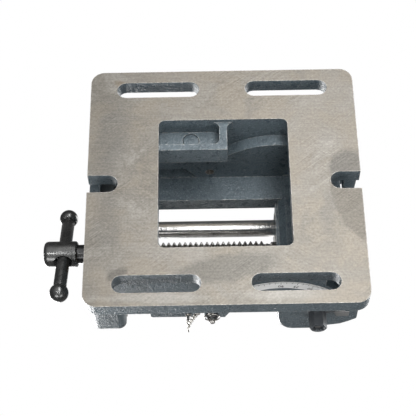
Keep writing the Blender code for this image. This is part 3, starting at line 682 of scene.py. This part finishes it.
def ground_rod(name):
    """Round bar ground between centres: fine rings, which spread its reflections lengthwise."""
    M = Mat(name)
    rings = M.noise(2600.0, 2.0, 0.6, M.mapping((1.0, 0.01, 0.01)))
    broad = M.noise(300.0, 4.0, 0.7, M.mapping((1.0, 0.02, 0.02)))
    stain = M.noise(60.0, 4.0, 0.6, None, 0.5)
    col = M.ramp(stain, (0.30, (0.52, 0.515, 0.50)), (0.62, (0.70, 0.69, 0.68)))
    col = M.mix(0.35, col, M.ramp(rings, (0.3, 0.28), (0.7, 0.70)), "SOFT_LIGHT")
    col = M.mix(M.ramp(broad, (0.60, 0.0), (0.70, 0.45)), col, (0.34, 0.33, 0.31))
    return M.out(col, M.math("ADD", M.math("MULTIPLY", stain, 0.12), 0.13), 1.0, M.bump(rings, 0.8, 0.00022))


ROD = ground_rod("rod_steel")
SCREW = steel("screw_steel", (0.36, 0.35, 0.335), 0.28, "x", 0.5, 0.3, dark_from=mx(107.5))
BRIGHT = steel("bright_steel", (0.68, 0.66, 0.63), 0.20, None, 0.25, 0.1)
PLATED = steel("plated_steel", (0.70, 0.68, 0.64), 0.18, None, 0.35, 0.25)
DARK = steel("dark_steel", (0.13, 0.13, 0.132), 0.34, None, 0.4, 0.2)
ZINC = steel("zinc_steel", (0.46, 0.45, 0.43), 0.30, None, 0.35, 0.2)
PLATE = steel("jaw_plate_steel", (0.40, 0.39, 0.375), 0.32, None, 0.30, 0.15, 1.0, "y")
KEEPER = steel("keeper_steel", (0.30, 0.295, 0.29), 0.40, None, 0.40, 0.2, 1.0, "y")
BRONZE = steel("nut_bronze", (0.56, 0.37, 0.15), 0.30, "x", 0.35, 0.1)
BLACK = black_oxide("black_oxide")
WHITE = enamel("scale_enamel")
INK = ink("scale_ink")
NUTGREY = steel("painted_nut_metal", (0.085, 0.093, 0.102), 0.42, None, 0.25, 0.15, 0.25)
PAD = steel("pad_metal", (0.30, 0.30, 0.30), 0.45, None, 0.3, 0.2, 0.6)


# ------------------------------------------------------------------ CAD nodes that stay
def smooth_group():
    """Geometry nodes: smooth faces, edges over a given angle sharp."""
    g = bpy.data.node_groups.new("smooth_by_angle", "GeometryNodeTree")
    g.interface.new_socket("Geometry", in_out="INPUT", socket_type="NodeSocketGeometry")
    g.interface.new_socket("Geometry", in_out="OUTPUT", socket_type="NodeSocketGeometry")
    gi = g.nodes.new("NodeGroupInput")
    go = g.nodes.new("NodeGroupOutput")
    a = g.nodes.new("GeometryNodeSetShadeSmooth")
    a.domain = "FACE"
    b = g.nodes.new("GeometryNodeSetShadeSmooth")
    b.domain = "EDGE"
    b.inputs["Shade Smooth"].default_value = False
    ea = g.nodes.new("GeometryNodeInputMeshEdgeAngle")
    cmp_ = g.nodes.new("FunctionNodeCompare")
    cmp_.data_type = "FLOAT"
    cmp_.operation = "GREATER_THAN"
    cmp_.inputs[1].default_value = math.radians(33.0)
    g.links.new(gi.outputs[0], a.inputs["Geometry"])
    g.links.new(a.outputs[0], b.inputs["Geometry"])
    g.links.new(ea.outputs["Unsigned Angle"], cmp_.inputs[0])
    g.links.new(cmp_.outputs[0], b.inputs["Selection"])
    g.links.new(b.outputs[0], go.inputs[0])
    return g


SMOOTH = smooth_group()


def dress(node, mat, w, seg=2, angle=31.0):
    """Welds, bevels and smooths a CAD node by modifiers, and gives it its material."""
    o = NODES[node]
    o.data.materials.clear()
    o.data.materials.append(mat)
    m = o.modifiers.new("weld", "WELD")
    m.merge_threshold = 0.000002
    m = o.modifiers.new("planar", "DECIMATE")
    m.decimate_type = "DISSOLVE"
    m.angle_limit = math.radians(1.0)
    if w > 0:
        bevel(o, w, seg, angle)
    m = o.modifiers.new("smooth", "NODES")
    m.node_group = SMOOTH
    m = o.modifiers.new("flat_faces_flat", "WEIGHTED_NORMAL")
    m.mode = "FACE_AREA"
    m.weight = 100
    m.keep_sharp = True
    return o


dress("base_casting", BASE, 0.0007, 2)
dress("tilting_body", BODY, 0.0008, 2)
dress("movable_jaw", JAW, 0.0009, 2)
for t_ in ("fixed", "movable"):
    dress("jaw_plate_" + t_, PLATE, 0.0002, 1)
    for k_ in (1, 2):
        dress("jaw_screw_%s_%d" % (t_, k_), DARK, 0.0001, 1)
dress("keeper_plate", KEEPER, 0.0004, 2)
dress("tilt_pointer", NUTGREY, 0.0001, 1)
dress("blank_pad", PAD, 0.0002, 2)
for k_ in (1, 2):
    dress("rod_set_screw_%d" % k_, DARK, 0.00012, 1)

# ------------------------------------------------------------------ guide rods
for i, y in enumerate((-ROD_Y, ROD_Y)):
    o = lathe([(-79.0, ROD_R - 1.0), (-78.4, ROD_R - 0.3), (-77.9, ROD_R), (108.7, ROD_R), (109.4, ROD_R - 0.3),
               (110.0, ROD_R - 1.0)], "x", (y, SCREW_Z), 96)
    place(o, "guide_rod_bar_%d" % (i + 1), ROD, "vise_body", ["guide_rod_%d" % (i + 1)], 50)

# ------------------------------------------------------------------ lead screw
core = lathe([(-90.5, 5.1), (-89.6, 6.0), (-42.2, 6.0), (-42.2, 7.4), (-38.0, 7.4), (-37.0, 5.75),
              (107.6, 5.75), (109.0, 7.2), (109.6, 7.65), (134.0, 7.65), (134.0, 6.6)], "x", (0.0, SCREW_Z), 72)
ridge = thread("x", (0.0, SCREW_Z), 5.75, 8.2, -35.0, 106.6, 4.395, -1, 40, 0.16, 0.86)
o = join(core, ridge)
place(o, "lead_screw_thread", SCREW, "screw", ["lead_screw"], 30)

t = math.radians(BAR_TILT)
BAR_M = Matrix.Translation((BAR_X, 0.0, SCREW_Z)) @ Matrix.Rotation(t, 4, "X")


def along_bar(profile, n=56):
    o = lathe(profile, "y", (0.0, 0.0), n)
    o.data.transform(BAR_M)
    return o


# ------------------------------------------------------------------ nut, collar
o = lathe([(83.0, 11.4), (83.6, 12.0), (106.4, 12.0), (107.0, 11.4)], "x", (0.0, SCREW_Z), 72)
cut(o, lathe([(82.0, 9.6), (83.9, 8.6), (106.1, 8.6), (108.0, 9.6)], "x", (0.0, SCREW_Z), 64))
place(o, "screw_nut_bush", BRONZE, "jaw", ["screw_nut"], 34)

o = lathe([(-88.6, 8.9), (-88.0, 9.6), (-82.0, 9.6), (-81.4, 8.9)], "x", (0.0, SCREW_Z), 72)
cut(o, cyl("x", (0.0, SCREW_Z), 6.35, -95.0, -78.0, 64))
cut(o, cyl("z", (-85.0, 0.0), 1.85, 90.0, 125.0, 32))
place(o, "screw_collar_ring", DARK, "screw", ["screw_collar"], 34)
o = lathe([(SCREW_Z - 9.3, 1.2), (SCREW_Z - 9.0, 1.5), (SCREW_Z + 9.0, 1.5), (SCREW_Z + 9.3, 1.2)], "z", (-85.0, 0.0), 32)
place(o, "collar_cross_pin", BRIGHT, "screw", ["collar_pin"], 34)

# ------------------------------------------------------------------ hub, bar, balls
o = lathe([(HUB_X0, 7.9), (HUB_X0, 9.3), (HUB_X0 + 0.3, 9.7), (HUB_X0 + 1.3, HUB_R), (HUB_X1 - 4.0, HUB_R),
           (HUB_X1 - 2.6, 10.45), (HUB_X1 - 1.4, 9.9), (HUB_X1 - 0.5, 9.0), (HUB_X1, 7.6)], "x", (0.0, SCREW_Z), 96)
cut(o, cyl("x", (0.0, SCREW_Z), 8.0, 110.0, 134.6, 64))
cut(o, along_bar([(-20.0, BAR_R + 0.7), (20.0, BAR_R + 0.7)]))
cut(o, along_bar([(8.6, BAR_R + 0.6), (11.6, BAR_R + 3.6)]))
cut(o, along_bar([(-11.6, BAR_R + 3.6), (-8.6, BAR_R + 0.6)]))
cut(o, cyl("z", (121.8, 0.0), 1.63, 90.0, 125.0, 40))
place(o, "handle_hub_turned", BLACK, "screw", ["handle_hub"], 34)
o = lathe([(SCREW_Z - 10.4, 1.5), (SCREW_Z - 10.3, 1.58), (SCREW_Z + 10.3, 1.58), (SCREW_Z + 10.4, 1.5)], "z",
          (121.8, 0.0), 40)
place(o, "hub_cross_pin", BLACK, "screw", ["hub_pin"], 34)

o = along_bar([(-BAR_HALF + 3.6, 2.7), (-BAR_HALF + 5.0, BAR_R - 0.4), (-BAR_HALF + 5.8, BAR_R),
               (BAR_HALF - 5.8, BAR_R), (BAR_HALF - 5.0, BAR_R - 0.4), (BAR_HALF - 3.6, 2.7)])
place(o, "tommy_bar_rod", BLACK, "bar", ["tommy_bar"], 40)
for tag, s in (("front", -1), ("rear", 1)):
    seat = -4.9
    a0 = math.degrees(math.asin(seat / BALL_R))
    pts = [(seat, 0.0), (seat, math.sqrt(BALL_R ** 2 - seat ** 2) - 0.4)]
    for i in range(1, 33):
        a = a0 + (90.0 - a0) * i / 32
        pts.append((BALL_R * math.sin(math.radians(a)), BALL_R * math.cos(math.radians(a)) if i < 32 else 0.0))
    pts = [(s * (BAR_HALF + p[0]), p[1]) for p in pts]
    o = along_bar(pts if s > 0 else pts[::-1], 64)
    place(o, "ball_" + tag, BLACK, "bar", ["bar_ball_" + tag], 50)

# ------------------------------------------------------------------ tilt clamps
for s, tag in ((-1, "front"), (1, "rear")):
    for k, ang in ((1, BOLT1_A), (2, BOLT2_A)):
        c = on_arc(ARC_R, ang)
        long_one = s < 0 and k == 1
        tip = 82.2 if long_one else 76.6
        pr = [(45.1, 3.2), (45.8, 3.5), (54.5, 3.5), (54.9, 3.85), (66.5, 3.85), (67.0, 3.3), (tip - 0.9, 3.3),
              (tip, 2.6)]
        pr = [(s * a_, r_) for a_, r_ in pr]
        core = lathe(pr if s > 0 else pr[::-1], "y", c, 48)
        a_, b_ = sorted((s * 67.6, s * (tip - 1.0)))
        o = join(core, thread("y", c, 3.3, 3.85, a_, b_, 1.35, 1, 28, 0.14, 0.8))
        place(o, "stud_%s_%d" % (tag, k), ZINC, "vise_body", ["clamp_stud_%s_%d" % (tag, k)], 34)
        if not long_one:
            y0, y1 = sorted((s * (CHEEK_OUT + 0.35), s * (CHEEK_OUT + 1.75)))
            o = lathe([(y0, 8.0), (y0 + 0.2, 8.2), (y1 - 0.2, 8.2), (y1, 8.0)], "y", c, 64)
            cut(o, cyl("y", c, 4.3, y0 - 1, y1 + 1, 48))
            place(o, "washer_%s_%d" % (tag, k), ZINC, "vise_body", ["clamp_washer_%s_%d" % (tag, k)], 34)
        end = 84.2 if long_one else 75.6
        y0, y1 = sorted((s * (CHEEK_OUT + 2.25), s * end))
        o = hex_nut(c, 11.4 if long_one else 12.6, 0.0 if long_one else 30.0, y0, y1, "y", 3.95)
        place(o, "nut_%s_%d" % (tag, k), NUTGREY if long_one else DARK, "nut_%s_%d" % (tag, k), ["clamp_nut_%s_%d" % (tag, k)], 34)

# ------------------------------------------------------------------ keeper screws
for i, y in enumerate((-12.0, 12.0)):
    o = hex_nut((94.0, y), 8.6, 0.0, 56.2, 59.7, "z", 0.6)
    o2 = cyl("z", (94.0, y), 2.35, 58.0, 75.0, 36, 0.3)
    place(join(o, o2), "keeper_bolt_%d" % (i + 1), DARK, "jaw", ["keeper_screw_%d" % (i + 1)], 34)

# ------------------------------------------------------------------ level stop
o = lathe([(16.4, 5.3), (16.55, 5.7), (16.8, 5.9), (41.6, 5.9), (42.5, 5.0)], "z", (24.3, 46.6), 72)
place(o, "level_stop_turned", BASE, "base", ["level_stop"], 34)

# ------------------------------------------------------------------ lock pin
PC = (PIN_X, PIN_Z)
o = lathe([(-86.6, 1.7), (-86.2, 2.15), (-85.7, 2.35), (-76.4, 2.35), (-76.4, 2.75), (-76.1, 2.95), (-57.2, 2.95),
           (-56.4, 2.7), (-55.4, 1.7)], "y", PC, 56)
cut(o, cyl("x", (-84.4, PIN_Z), 1.2, 0.0, 20.0, 28))
place(o, "lock_pin_shank", BRIGHT, "pin", ["lock_pin"], 34)
bm = bmesh.new()
rows = []
prof = [(-82.6, 2.7, 0), (-82.6, 3.7, 0), (-82.2, 4.15, 0.4), (-81.9, 4.3, 1), (-77.5, 4.3, 1), (-77.1, 4.15, 0.4),
        (-76.7, 3.7, 0), (-76.7, 2.7, 0)]
NK = 96
for a_, r_, kn in prof:
    rows.append([bm.verts.new((PIN_X + (r_ - (0.34 * kn if (i % 4) in (0, 1) else 0)) * math.cos(2 * math.pi * i / NK), a_,
                               PIN_Z + (r_ - (0.34 * kn if (i % 4) in (0, 1) else 0)) * math.sin(2 * math.pi * i / NK)))
                 for i in range(NK)])
for r0, r1 in zip(rows, rows[1:] + rows[:1]):
    for i in range(NK):
        j = (i + 1) % NK
        bm.faces.new((r0[i], r0[j], r1[j], r1[i]))
place(raw(bm), "lock_pin_knurl", DARK, "pin", ["lock_pin_grip"], 34)

ring_c = Vector((PIN_X, -84.4, PIN_Z + 0.25 - 5.5))
o = torus(5.5, 0.5, 72, 14, (ring_c, Vector((0, 0, 1)), Vector((1, 0, 0))))
place(o, "pin_split_ring", PLATED, "pin", ["pin_ring"], 60)

EYE = Vector((28.5, -80.5, 78.6))
eye = torus(2.9, 0.62, 48, 14, (EYE, Vector((0, 0, 1)), Vector((0, 1, 0))))
stem = lathe([(-77.7, 0.9), (-77.3, 1.25), (-61.2, 1.05), (-60.8, 0.7)], "y", (28.5, 78.6), 28)
flange = lathe([(-70.4, 1.2), (-70.2, 2.3), (-69.5, 2.4), (-69.2, 1.2)], "y", (28.5, 78.6), 32)
place(join(eye, stem, flange), "eye_screw_bright", PLATED, "base", ["eye_screw"], 60)

# ------------------------------------------------------------------ chain of oval links
a = EYE + Vector((0.0, 0.0, -2.9))
b = ring_c + Vector((0.0, 0.0, -5.5))


def chain_point(f, sag):
    p = a.lerp(b, f)
    p.z -= sag * 4.0 * f * (1.0 - f)
    return p


def chain_len(sag):
    q = [chain_point(i / 200.0, sag) for i in range(201)]
    return sum((v - u).length for u, v in zip(q, q[1:]))


CHAIN_L = 41.5
lo, hi = 0.0, 40.0
for _ in range(40):
    mid = (lo + hi) / 2
    if chain_len(mid) < CHAIN_L:
        lo = mid
    else:
        hi = mid
SAG = (lo + hi) / 2
q = [chain_point(i / 400.0, SAG) for i in range(401)]
cum = [0.0]
for u_, v_ in zip(q, q[1:]):
    cum.append(cum[-1] + (v_ - u_).length)


def at_len(s):
    for i in range(400):
        if cum[i + 1] >= s:
            return q[i].lerp(q[i + 1], (s - cum[i]) / (cum[i + 1] - cum[i]))
    return q[-1]


N_LINK = 16
PITCH = CHAIN_L / N_LINK
links = []
side0 = Vector((0.62, -0.78, 0.0))
for i in range(N_LINK):
    s0 = at_len(PITCH * i)
    s1 = at_len(PITCH * (i + 1))
    c = (s0 + s1) / 2
    d = (s1 - s0).normalized()
    e = d.cross(side0).normalized()
    if i % 2:
        e = d.cross(e).normalized()
    links.append(link_ring(c, d, e, PITCH / 2 + 0.52, 1.08, 0.46))
chain = join(*links)
place(chain, "pin_chain_links", PLATED, None, (), 60)
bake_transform(chain)
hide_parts("pin_chain")

# ------------------------------------------------------------------ degree scale
SC_Y0, SC_Y1 = -CHEEK_OUT - 0.33, -CHEEK_OUT - 0.62
pts = []
n = 130
for i in range(n + 1):
    pts.append(on_arc(49.2, -180.5 + 128.5 * i / n))
for i in range(n + 1):
    pts.append(on_arc(39.7, -52.0 - 128.5 * i / n))
o = prism(pts, SC_Y1, SC_Y0, "y")
for ang in (-171.0, -58.0):
    cut(o, cyl("y", on_arc(41.5, ang), 1.3, -72.0, -66.0, 24))
place(o, "degree_scale_plate", WHITE, "base", ["degree_scale"], 34)
for i, ang in enumerate((-171.0, -58.0)):
    o = lathe([(-69.15, 0.0), (-69.1, 0.5), (-68.95, 0.95), (-68.7, 1.25), (-68.2, 1.25), (-68.2, 0.0)], "y", on_arc(41.5, ang), 32)
    place(o, "scale_rivet_%d" % (i + 1), ZINC, "base", (), 60)


def mark(deg, r0, r1, half):
    t = math.radians(deg)
    rad = Vector((math.cos(t), math.sin(t)))
    tan = Vector((-math.sin(t), math.cos(t)))
    c0, c1 = Vector((PX, PZ)) + rad * r0, Vector((PX, PZ)) + rad * r1
    return prism([tuple(c0 - tan * half), tuple(c0 + tan * half), tuple(c1 + tan * half), tuple(c1 - tan * half)],
                 SC_Y1 - 0.09, SC_Y1 + 0.05, "y")


marks = []
A0 = -178.5
for d in range(0, 121, 1):
    ang = A0 + d
    if ang > -53.0:
        break
    if d % 15 == 0:
        r0 = 45.3
    elif d % 5 == 0:
        r0 = 46.4
    else:
        r0 = 47.4
    marks.append(mark(ang, r0, 48.8, 0.11 if d % 5 else 0.16))
for d in range(0, 91, 15):
    ang = A0 + d
    cu = bpy.data.curves.new("digit", "FONT")
    cu.body = str(d)
    cu.size = 4.2
    cu.align_x = "CENTER"
    cu.align_y = "CENTER"
    cu.extrude = 0.07
    cu.resolution_u = 4
    fo = bpy.data.objects.new("digit", cu)
    COL.objects.link(fo)
    dg = bpy.context.evaluated_depsgraph_get()
    dg.update()
    me = bpy.data.meshes.new_from_object(fo.evaluated_get(dg))
    bpy.data.objects.remove(fo, do_unlink=True)
    t_ = math.radians(ang)
    up = Vector((-math.cos(t_), 0.0, -math.sin(t_)))
    right = Vector((-math.sin(t_), 0.0, math.cos(t_)))
    if d == 0:
        ang_c = on_arc(42.6, ang + 3.0)
    else:
        ang_c = on_arc(42.6, ang)
    m4 = Matrix((
        (right.x, up.x, 0.0, ang_c[0]),
        (0.0, 0.0, -1.0, SC_Y1 - 0.02),
        (right.z, up.z, 0.0, ang_c[1]),
        (0.0, 0.0, 0.0, 1.0)))
    me.transform(m4)
    do = bpy.data.objects.new("t", me)
    COL.objects.link(do)
    marks.append(do)
place(join(*marks), "degree_scale_marks", INK, "base", (), 34)

# ------------------------------------------------------------------ stage and light
world = bpy.data.worlds.new("studio")
bpy.context.scene.world = world
world.use_nodes = True
wt = world.node_tree
wt.nodes.clear()
wo = wt.nodes.new("ShaderNodeOutputWorld")
bg_cam = wt.nodes.new("ShaderNodeBackground")
bg_cam.inputs["Color"].default_value = (1, 1, 1, 1)
bg_cam.inputs["Strength"].default_value = 1.0
bg_light = wt.nodes.new("ShaderNodeBackground")
tc = wt.nodes.new("ShaderNodeTexCoord")
sp = wt.nodes.new("ShaderNodeSeparateXYZ")
wt.links.new(tc.outputs["Generated"], sp.inputs[0])
rp = wt.nodes.new("ShaderNodeValToRGB")
# brightness from straight down (0) to straight up (1)
STOPS = ((0.0, 1.0), (0.05, 0.90), (0.14, 0.38), (0.30, 0.12), (0.56, 0.08), (0.70, 0.14), (0.85, 0.24), (1.0, 0.34))
el = rp.color_ramp.elements
while len(el) < len(STOPS):
    el.new(0.5)
for e_, (p_, v_) in zip(el, STOPS):
    e_.position = p_
    e_.color = (v_, v_, v_, 1)
mp = wt.nodes.new("ShaderNodeMapRange")
mp.inputs["From Min"].default_value = -1.0
mp.inputs["From Max"].default_value = 1.0
wt.links.new(sp.outputs["Z"], mp.inputs["Value"])
wt.links.new(mp.outputs["Result"], rp.inputs["Fac"])
wt.links.new(rp.outputs["Color"], bg_light.inputs["Color"])
bg_light.inputs["Strength"].default_value = 1.0
lp = wt.nodes.new("ShaderNodeLightPath")
mixw = wt.nodes.new("ShaderNodeMixShader")
wt.links.new(lp.outputs["Is Camera Ray"], mixw.inputs["Fac"])
wt.links.new(bg_light.outputs[0], mixw.inputs[1])
wt.links.new(bg_cam.outputs[0], mixw.inputs[2])
wt.links.new(mixw.outputs[0], wo.inputs["Surface"])
bpy.context.scene.view_settings.view_transform = "Standard"


def area(name, loc, target, size, power, color=(1, 1, 1)):
    d = bpy.data.lights.new(name, "AREA")
    d.shape = "RECTANGLE"
    d.size, d.size_y = size
    d.energy = power
    d.color = color
    o = bpy.data.objects.new(name, d)
    COL.objects.link(o)
    o.location = loc
    o.rotation_mode = "QUATERNION"
    o.rotation_quaternion = (Vector(target) - Vector(loc)).to_track_quat("-Z", "Y")
    return o


area("key_low", (-0.27, 0.04, -1.15), (0.0, 0.0, 0.04), (1.9, 0.40), 19.0)
area("spot_low", (0.42, -0.34, -1.02), (0.0, 0.0, 0.06), (0.12, 0.12), 1.5)
area("fill_low", (-0.60, -1.08, -0.34), (0.0, 0.0, 0.04), (0.8, 0.4), 3.2)
area("front_low", (0.24, -0.48, -0.10), (0.04, -0.09, 0.02), (0.30, 0.14), 0.75)
area("key_high", (0.55, 0.08, 1.25), (0.0, 0.0, 0.06), (0.9, 0.7), 19.0)
area("fill_high", (-0.95, 0.45, 0.85), (0.0, 0.0, 0.06), (0.9, 0.9), 12.0)

bm = bmesh.new()
vs = [bm.verts.new((x, y, -0.0003)) for x, y in ((-4, -4), (4, -4), (4, 4), (-4, 4))]
bm.faces.new(vs)
me = bpy.data.meshes.new("floor")
bm.to_mesh(me)
bm.free()
floor = bpy.data.objects.new("floor", me)
COL.objects.link(floor)
fm = bpy.data.materials.new("floor")
fm.use_nodes = True
ft = fm.node_tree
fb = ft.nodes["Principled BSDF"]
fb.inputs["Base Color"].default_value = (0.80, 0.80, 0.79, 1)
fb.inputs["Roughness"].default_value = 0.7
fc = ft.nodes.new("ShaderNodeTexCoord")
fd = ft.nodes.new("ShaderNodeVectorMath")
fd.operation = "LENGTH"
ft.links.new(fc.outputs["Object"], fd.inputs[0])
fr = ft.nodes.new("ShaderNodeMapRange")
fr.interpolation_type = "SMOOTHSTEP"
fr.inputs["From Min"].default_value = 0.14
fr.inputs["From Max"].default_value = 0.85
ft.links.new(fd.outputs["Value"], fr.inputs["Value"])
fe = ft.nodes.new("ShaderNodeEmission")
fm1 = ft.nodes.new("ShaderNodeMixShader")
ft.links.new(fr.outputs["Result"], fm1.inputs["Fac"])
ft.links.new(fb.outputs[0], fm1.inputs[1])
ft.links.new(fe.outputs[0], fm1.inputs[2])
tr = ft.nodes.new("ShaderNodeBsdfTransparent")
fg = ft.nodes.new("ShaderNodeNewGeometry")
fx = ft.nodes.new("ShaderNodeMixShader")
ft.links.new(fg.outputs["Backfacing"], fx.inputs["Fac"])
ft.links.new(fm1.outputs[0], fx.inputs[1])
ft.links.new(tr.outputs[0], fx.inputs[2])
ft.links.new(fx.outputs[0], ft.nodes["Material Output"].inputs["Surface"])
me.materials.append(fm)
floor.visible_shadow = False
floor.visible_diffuse = False
floor.visible_glossy = False
floor.visible_transmission = False
